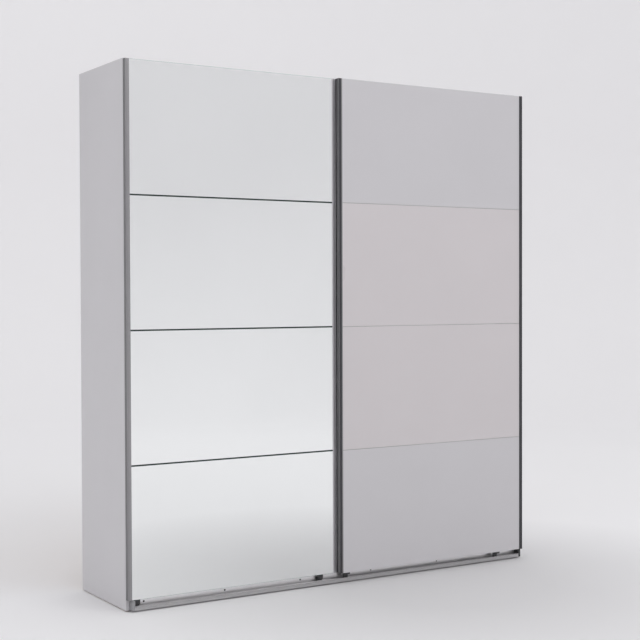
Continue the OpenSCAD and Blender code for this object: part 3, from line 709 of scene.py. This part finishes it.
def screws(node, head, side, sizes):
    """A node's screws, with heads of the height head facing -Y (side -1) or +Y (side 1)."""
    bm = bmesh.new()
    for low, high in islands(node):
        middle = (low + high) / 2
        end, tip = (high.y, low.y) if side > 0 else (low.y, high.y)
        seat = Vector((middle.x, end - side * head, middle.z))
        screw_head(bm, seat, (0, side, 0), (high.x - low.x) / 2, head, sizes)
        length = abs(tip - seat.y)
        profile = [
            (0.0, 0.0), (SHANK_RADIUS, 0.0), (SHANK_RADIUS, length * SHANK_SHARE), (0.0, length),
        ]
        turned(bm, profile, seat, (0, -side, 0), SHANK_STEPS)
    place_piece(bm, f"{node}_piece", [node], ["black_steel"])


def box_faces_met(point, low, high):
    """How many faces of a box a point lies on."""
    return sum(
        min(abs(point[i] - low[i]), abs(point[i] - high[i])) < MERGE for i in range(3)
    )


def islands(node):
    """The boxes of a CAD node's separate solids, from left to right."""
    bm = bmesh.new()
    bm.from_mesh(frame["nodes"][node].data)
    bmesh.ops.remove_doubles(bm, verts=bm.verts, dist=MERGE)
    left = set(bm.verts)
    boxes = []
    while left:
        stack = [left.pop()]
        group = []
        while stack:
            vert = stack.pop()
            group.append(vert.co.copy())
            for edge in vert.link_edges:
                other = edge.other_vert(vert)
                if other in left:
                    left.remove(other)
                    stack.append(other)
        low = Vector([min(co[i] for co in group) for i in range(3)])
        high = Vector([max(co[i] for co in group) for i in range(3)])
        boxes.append((low, high))
    bm.free()
    return sorted(boxes, key=lambda box: (round(box[0].x, 5), round(box[0].z, 5)))


# ---- Pieces ----


class WARDROBE_OT_finishes(bpy.types.Operator):
    """Make the finishes that the pieces share"""

    bl_idname = "wardrobe.finishes"
    bl_label = "Finishes"

    def execute(self, context):
        make_finishes(context.scene.wardrobe_colours)
        return {"FINISHED"}


class WARDROBE_OT_boards(bpy.types.Operator):
    """Build the carcass boards with banded front edges and raw hidden edges"""

    bl_idname = "wardrobe.boards"
    bl_label = "Carcass boards"

    def execute(self, context):
        sizes = context.scene.wardrobe_sizes
        for node in BOARDS:
            low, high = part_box(node)
            bm = merged_copy(node)
            for face in bm.faces:
                face.material_index = int(self.is_raw(face, low, high, node in UPRIGHTS))
            soften(bm, sizes.board_edge, sizes.bevel_steps, shortest=12 * MM)
            place_piece(bm, f"{node}_piece", [node], ["board", "chipboard"])
        return {"FINISHED"}

    @staticmethod
    def is_raw(face, low, high, upright):
        """Whether a face is a hidden edge, a groove or the wall of a bore."""
        normal = face.normal
        middle = face.calc_center_median()
        if normal.y > FACING:
            return True
        if upright and normal.z < -FACING:
            return True
        if not upright and abs(normal.x) > FACING:
            return True
        margin = 1 * MM
        return all(low[i] + margin < middle[i] < high[i] - margin for i in range(3))


class WARDROBE_OT_backs(bpy.types.Operator):
    """Build the hardboard backs, brown outside and foiled white inside"""

    bl_idname = "wardrobe.backs"
    bl_label = "Back panels"

    def execute(self, context):
        sizes = context.scene.wardrobe_sizes
        for node in ("left_back_panel", "right_back_panel"):
            bm = merged_copy(node)
            for face in bm.faces:
                face.material_index = int(face.normal.y < -FACING)
            soften(bm, sizes.steel_edge, sizes.bevel_steps)
            place_piece(bm, f"{node}_piece", [node], ["hardboard", "foil"])
        return {"FINISHED"}


class WARDROBE_OT_fittings(bpy.types.Operator):
    """Build the clothes rails, sockets, brackets and glides, and finish the small hardware"""

    bl_idname = "wardrobe.fittings"
    bl_label = "Fittings"

    def execute(self, context):
        sizes = context.scene.wardrobe_sizes
        steps = sizes.bevel_steps
        rounded_piece("left_clothes_rail", "chrome", sizes.steel_edge, steps)
        rounded_piece("right_clothes_rail", "chrome", sizes.steel_edge, steps)
        rounded_piece("clothes_rail_sockets", "zinc", sizes.steel_edge, steps)
        rounded_piece("wall_brackets", "zinc", sizes.steel_edge, steps)
        self.glides()
        for node, finish in (
            ("shelf_pins", "zinc"), ("cam_bolts", "zinc"), ("cabinet_screws", "zinc"),
            ("cam_fittings", "cast_zinc"),
        ):
            frame["nodes"][node].material_slots[0].material = MATERIALS[finish]
        return {"FINISHED"}

    @staticmethod
    def glides():
        """Nailed glides: a disc with a rounded foot, and a pin up into the board."""
        bm = bmesh.new()
        pin = 1.5 * MM
        foot = 3 * MM
        for low, high in islands("floor_glides"):
            centre = ((low.x + high.x) / 2, (low.y + high.y) / 2, low.z)
            radius = (high.x - low.x) / 2
            profile = [
                (0.0, 0.0), (radius * 0.75, 0.0), (radius * 0.92, foot * 0.12),
                (radius, foot * 0.4), (radius, foot * 0.85), (radius * 0.95, foot),
                (pin, foot), (pin, (high.z - low.z) * 0.9), (0.0, high.z - low.z),
            ]
            turned(bm, profile, centre, (0, 0, 1), TURNED_STEPS)
        smooth_sides(bm, 2)
        place_piece(bm, "floor_glides_piece", ["floor_glides"], ["nylon"])


class WARDROBE_OT_rails(bpy.types.Operator):
    """Build the top and bottom rails with their stops, screws and end caps"""

    bl_idname = "wardrobe.rails"
    bl_label = "Rails"

    def execute(self, context):
        sizes = context.scene.wardrobe_sizes
        steps = sizes.bevel_steps
        rounded_piece("top_rail", "silver_x", sizes.rail_edge, steps)
        self.bottom_rail(sizes)
        rounded_piece("track_stops", "dark_plastic", sizes.plastic_edge * 0.5, steps)
        screws("bottom_rail_screws", RAIL_HEAD, -1, sizes)
        self.cap("left_rail_cap", "grey_plastic", sizes)
        self.cap("right_rail_cap", "dark_plastic", sizes)
        return {"FINISHED"}

    @staticmethod
    def bottom_rail(sizes):
        """The guide rail, its grooves lightened with painted light and its front face darker than them
        with painted shade.
        """
        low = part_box("bottom_rail")[0]
        bm = merged_copy("bottom_rail")
        # painted shade: the low front faces take the darker copy
        for face in bm.faces:
            if face.normal.y < -LEANING and face.calc_center_median().y < low.y + MM:
                face.material_index = 1
        soften(bm, sizes.rail_edge, sizes.bevel_steps)
        place_piece(bm, "bottom_rail_piece", ["bottom_rail"], ["guide_grooves", "guide_front"])

    @staticmethod
    def cap(node, finish, sizes):
        """A moulded end cap with a raised rim round its front."""
        low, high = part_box(node)
        bm = bmesh.new()
        block(bm, low, high)
        front = [f for f in bm.faces if f.normal.y < -FACING]
        bmesh.ops.inset_region(
            bm, faces=front, thickness=sizes.cap_rim, depth=-sizes.cap_recess, use_even_offset=True,
        )
        outer = [
            e for e in bm.edges
            if all(box_faces_met(v.co, low, high) >= 2 for v in e.verts)
        ]
        soften(bm, sizes.plastic_edge, sizes.bevel_steps, outer)
        place_piece(bm, f"{node}_piece", [node], [finish])


class WARDROBE_OT_mirror_panes(bpy.types.Operator):
    """Build the four mirrors with ground edges, their backing boards and the strips between"""

    bl_idname = "wardrobe.mirror_panes"
    bl_label = "Mirrors"

    def execute(self, context):
        sizes = context.scene.wardrobe_sizes
        for node in MIRRORS:
            low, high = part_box(node)
            bm = bmesh.new()
            block(bm, low, high)
            for face in bm.faces:
                face.material_index = 0 if face.normal.y < -FACING else 1
                if face.normal.y > FACING:
                    face.material_index = 2
            front = [f for f in bm.faces if f.material_index == 0]
            ground = bmesh.ops.bevel(
                bm, geom=front[0].edges[:], offset=sizes.glass_edge, offset_type="OFFSET",
                segments=1, profile=0.5, affect="EDGES", clamp_overlap=True, material=1,
            )
            for face in ground["faces"]:
                face.material_index = 1
            place_piece(bm, f"{node}_piece", [node], ["mirror", "glass_edge", "backing"])
        rounded_piece("mirror_backing_boards", "chipboard", sizes.steel_edge, sizes.bevel_steps)
        strips("mirror_door_strips", MIRRORS, "black_plastic", sizes)
        return {"FINISHED"}


def strips(node, panes, finish, sizes):
    """Bars with rounded noses in the joints between the panes of a door."""
    low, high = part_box(node)
    width = high.x - low.x
    bm = bmesh.new()
    for lower, upper in zip(panes, panes[1:]):
        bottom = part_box(lower)[1].z
        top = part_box(upper)[0].z
        bar = block(bm, (low.x, low.y, bottom), (high.x, high.y, top))
        front = {e for v in bar for e in v.link_edges if all(v.co.y < low.y + MERGE for v in e.verts)}
        nose = [e for e in front if e.calc_length() > width - MERGE]
        soften(bm, min(sizes.strip_edge, (top - bottom) * 0.4), sizes.bevel_steps, nose)
    place_piece(bm, f"{node}_piece", [node], [finish])


class WARDROBE_OT_plain_panels(bpy.types.Operator):
    """Build the four plain door panels and the strips between them"""

    bl_idname = "wardrobe.plain_panels"
    bl_label = "Plain panels"

    def execute(self, context):
        sizes = context.scene.wardrobe_sizes
        for node in PLAIN_PANELS:
            low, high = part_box(node)
            bm = bmesh.new()
            block(bm, low, high)
            soften(bm, sizes.panel_edge, sizes.bevel_steps)
            cool = node in ("bottom_plain_panel", "top_plain_panel")
            place_piece(bm, f"{node}_piece", [node], ["cool_panel" if cool else "warm_panel"])
        strips("panel_door_strips", PLAIN_PANELS, "pale_plastic", sizes)
        return {"FINISHED"}


class WARDROBE_OT_profiles(bpy.types.Operator):
    """Build the upright profiles, the stiffening bars and the sealing lip of the doors"""

    bl_idname = "wardrobe.profiles"
    bl_label = "Door profiles"

    def execute(self, context):
        sizes = context.scene.wardrobe_sizes
        steps = sizes.bevel_steps
        for node, finishes in (
            # painted shade on the left mirror door's profile, stronger on its outer edge
            ("mirror_door_left_profile", ["silver_z", "shaded_z", "silver_z"]),
            # painted light on the right mirror door's profile
            ("mirror_door_right_profile", ["bright_z", "bright_z", "bright_z"]),
            # painted shade on the plain door's profiles
            ("panel_door_left_profile", ["rim_z", "edge_z", "dark_z"]),
            ("panel_door_right_profile", ["dark_z", "dark_z", "dark_z"]),
        ):
            self.profile(node, finishes, sizes)
        rounded_piece("mirror_door_bars", "silver_x", sizes.rail_edge, steps)
        rounded_piece("panel_door_bars", "silver_x", sizes.rail_edge, steps)
        bm = bmesh.new()
        block(bm, *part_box("mirror_door_seal"))
        soften(bm, sizes.seal_edge, steps + 1)
        place_piece(bm, "mirror_door_seal_piece", ["mirror_door_seal"], ["rubber"])
        return {"FINISHED"}

    @staticmethod
    def profile(node, finishes, sizes):
        """A profile with a groove in its front; finishes are its front, outer edge and groove."""
        low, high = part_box(node)
        left = "left_profile" in node
        outer = low.x if left else high.x
        inward = 1 if left else -1
        edge_depth = 0.5 * MM
        bm = merged_copy(node)
        for share in (sizes.grip_start, sizes.grip_end):
            bmesh.ops.bisect_plane(
                bm, geom=bm.verts[:] + bm.edges[:] + bm.faces[:], dist=MERGE,
                plane_co=(outer + inward * share * (high.x - low.x), 0, 0), plane_no=(1, 0, 0),
            )
        grip = []
        for face in bm.faces:
            middle = face.calc_center_median()
            reach = abs(middle.x - outer) / (high.x - low.x)
            front = face.normal.y < -FACING and middle.y < low.y + MERGE
            if front and sizes.grip_start < reach < sizes.grip_end:
                grip.append(face)
                face.material_index = 2
            elif abs(middle.x - outer) < edge_depth and abs(face.normal.x) > FACING:
                face.material_index = 1
        if not grip:
            raise ValueError(f"{node} has no front face for its groove")
        for face in sink(bm, grip, (0, sizes.grip_depth, 0)):
            face.material_index = 2
        soften(bm, sizes.profile_edge, sizes.bevel_steps, shortest=1.0)
        place_piece(bm, f"{node}_piece", [node], finishes)


class WARDROBE_OT_running_gear(bpy.types.Operator):
    """Build the carriages, arms, axles, wheels, screws and guides of the doors"""

    bl_idname = "wardrobe.running_gear"
    bl_label = "Running gear"

    def execute(self, context):
        sizes = context.scene.wardrobe_sizes
        steps = sizes.bevel_steps
        rounded_piece("mirror_door_carriages", "zinc", sizes.steel_edge, steps)
        rounded_piece("panel_door_arms", "zinc", sizes.steel_edge, steps)
        for node in ("mirror_door_guides", "panel_door_guides"):
            rounded_piece(node, "dark_plastic", sizes.plastic_edge, steps)
        for node in ("mirror_door_axles", "panel_door_axles"):
            self.axles(node)
        for node in ("mirror_door_screws", "panel_door_screws"):
            screws(node, DOOR_HEAD, 1, sizes)
        for node in WHEELS:
            self.wheel(node, sizes)
        return {"FINISHED"}

    @staticmethod
    def axles(node):
        """Riveted pins with a shoulder in front of the wheel and a domed head behind it."""
        bm = bmesh.new()
        shaft = 3 * MM
        tip = 0.3 * MM
        collar = 1.5 * MM
        collar_edge = 0.2 * MM
        wheel_room = 10 * MM
        for low, high in islands(node):
            middle = (low + high) / 2
            shoulder = (high.x - low.x) / 2
            length = high.y - low.y
            ring = length - 2 * collar - wheel_room
            head = length - collar
            profile = [
                (0.0, 0.0), (shaft * 0.8, 0.0), (shaft, tip), (shaft, ring),
                (shoulder * 0.95, ring), (shoulder, ring + collar_edge),
                (shoulder, ring + collar), (shaft, ring + collar), (shaft, head),
                (shoulder, head), (shoulder * 0.95, head + collar * 0.5),
                (shoulder * 0.7, head + collar * 0.9), (0.0, head + collar),
            ]
            turned(bm, profile, (middle.x, low.y, middle.z), (0, 1, 0), TURNED_STEPS)
        smooth_sides(bm, 1)
        place_piece(bm, f"{node}_piece", [node], ["zinc"])

    @staticmethod
    def wheel(node, sizes):
        """A flanged wheel with a rail groove, and rings sunk between its hub and its rim."""
        low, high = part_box(node)
        middle = (low + high) / 2
        rim = (high.x - low.x) / 2
        half = (high.y - low.y) / 2
        bore = 3.05 * MM
        tread = 12 * MM
        groove = 1.6 * MM
        flare = 0.6 * MM
        soft = 0.4 * MM
        hub = bore + 2.4 * MM
        rim_inside = tread - 1.6 * MM
        deep = sizes.hub_recess
        side = [
            (bore, half - soft), (bore + soft, half), (hub - soft, half), (hub, half - soft),
            (hub + soft, half - deep), (rim_inside - soft, half - deep),
            (rim_inside, half - soft), (rim_inside + soft, half), (rim - soft, half),
            (rim, half - soft),
            (rim, groove + flare + soft), (rim - soft, groove + flare), (tread, groove),
        ]
        profile = side + [(r, -a) for r, a in reversed(side)]
        bm = bmesh.new()
        turned(bm, profile, middle, (0, 1, 0), WHEEL_STEPS, closed=True)
        smooth_sides(bm, 1)
        place_piece(bm, f"{node}_piece", [node], ["acetal"])


class WARDROBE_OT_stage(bpy.types.Operator):
    """Set up the pale round studio, its soft lights and the camera"""

    bl_idname = "wardrobe.stage"
    bl_label = "Studio"

    def execute(self, context):
        stage = context.scene.wardrobe_stage
        self.room(context.scene, stage)
        self.lights(context.scene, stage)
        self.camera(context.scene, stage)
        context.scene.view_settings.view_transform = "Standard"
        return {"FINISHED"}

    @staticmethod
    def room(scene, stage):
        """A floor, a cove and a wall in one turned surface, open above."""
        bm = bmesh.new()
        flat = stage.room_radius - stage.cove
        start = bm.verts.new((flat, 0, 0))
        bmesh.ops.spin(
            bm, geom=[start], cent=(flat, 0, stage.cove), axis=(0, -1, 0), angle=math.pi / 2,
            steps=COVE_STEPS,
        )
        bm.verts.ensure_lookup_table()
        end = max(bm.verts, key=lambda vert: vert.co.z)
        centre = bm.verts.new((0, 0, 0))
        top = bm.verts.new((stage.room_radius, 0, stage.room_height))
        bm.edges.new((centre, start))
        bm.edges.new((end, top))
        bmesh.ops.spin(
            bm, geom=bm.verts[:] + bm.edges[:], cent=(0, 0, 0), axis=(0, 0, 1),
            angle=2 * math.pi, steps=ROOM_STEPS, use_merge=True,
        )
        bmesh.ops.remove_doubles(bm, verts=bm.verts, dist=MERGE)
        for face in bm.faces:
            face.smooth = True
        mesh = bpy.data.meshes.new("studio_room")
        bm.to_mesh(mesh)
        bm.free()
        mesh.materials.append(studio_paint("studio_paint", stage))
        room = bpy.data.objects.new("studio_room", mesh)
        scene.collection.objects.link(room)

    @staticmethod
    def lights(scene, stage):
        """Even light from above, a large soft light in front and a faint one on the wall."""
        world = bpy.data.worlds.new("studio_sky")
        world.use_nodes = True
        background = world.node_tree.nodes["Background"]
        background.inputs["Color"].default_value = (*stage.sky_colour, 1)
        background.inputs["Strength"].default_value = stage.sky
        scene.world = world
        for name, place, aim, size, power in LIGHTS:
            data = bpy.data.lights.new(name, "AREA")
            data.shape = "DISK"
            data.size = size
            data.energy = getattr(stage, power)
            lamp = bpy.data.objects.new(name, data)
            lamp.location = place
            direction = Vector(aim) - Vector(place)
            lamp.rotation_euler = direction.to_track_quat("-Z", "Y").to_euler()
            scene.collection.objects.link(lamp)

    @staticmethod
    def camera(scene, stage):
        """A camera turned by yaw, pitch and roll from a level view along +Y."""
        forward = Vector((
            math.sin(stage.yaw) * math.cos(stage.pitch),
            math.cos(stage.yaw) * math.cos(stage.pitch),
            math.sin(stage.pitch),
        ))
        level = Vector((math.cos(stage.yaw), -math.sin(stage.yaw), 0))
        up = level.cross(forward)
        right = level * math.cos(stage.roll) + up * math.sin(stage.roll)
        up = up * math.cos(stage.roll) - level * math.sin(stage.roll)
        data = bpy.data.cameras.new("camera")
        data.lens = stage.lens
        data.sensor_width = 36
        data.clip_end = 100
        camera = bpy.data.objects.new("camera", data)
        turn = Matrix((right, up, -forward)).transposed().to_4x4()
        camera.matrix_world = Matrix.Translation(stage.camera_place) @ turn
        scene.collection.objects.link(camera)
        scene.camera = camera


class WARDROBE_PT_panel(bpy.types.Panel):
    """Sidebar panel with the sizes, the colours and a button for each group of pieces"""

    bl_idname = "WARDROBE_PT_panel"
    bl_label = "Sliding Door Wardrobe"
    bl_space_type = "VIEW_3D"
    bl_region_type = "UI"
    bl_category = "Wardrobe"

    def draw(self, context):
        layout = self.layout
        for operator in OPERATORS:
            layout.operator(operator.bl_idname)
        for title, group in (
            ("Sizes", context.scene.wardrobe_sizes),
            ("Colours", context.scene.wardrobe_colours),
            ("Studio", context.scene.wardrobe_stage),
        ):
            box = layout.box()
            box.label(text=title)
            for key in group.__annotations__:
                box.prop(group, key)


OPERATORS = (
    WARDROBE_OT_finishes,
    WARDROBE_OT_boards,
    WARDROBE_OT_backs,
    WARDROBE_OT_fittings,
    WARDROBE_OT_rails,
    WARDROBE_OT_mirror_panes,
    WARDROBE_OT_plain_panels,
    WARDROBE_OT_profiles,
    WARDROBE_OT_running_gear,
    WARDROBE_OT_stage,
)
GROUPS = (WARDROBE_PG_sizes, WARDROBE_PG_colours, WARDROBE_PG_stage)


def register():
    for item in GROUPS + OPERATORS + (WARDROBE_PT_panel,):
        bpy.utils.register_class(item)
    bpy.types.Scene.wardrobe_sizes = PointerProperty(type=WARDROBE_PG_sizes)
    bpy.types.Scene.wardrobe_colours = PointerProperty(type=WARDROBE_PG_colours)
    bpy.types.Scene.wardrobe_stage = PointerProperty(type=WARDROBE_PG_stage)


def unregister():
    del bpy.types.Scene.wardrobe_stage
    del bpy.types.Scene.wardrobe_colours
    del bpy.types.Scene.wardrobe_sizes
    for item in reversed(GROUPS + OPERATORS + (WARDROBE_PT_panel,)):
        bpy.utils.unregister_class(item)


def main():
    register()
    for operator in OPERATORS:
        group, name = operator.bl_idname.split(".")
        getattr(getattr(bpy.ops, group), name)()


if __name__ == "__main__":
    main()
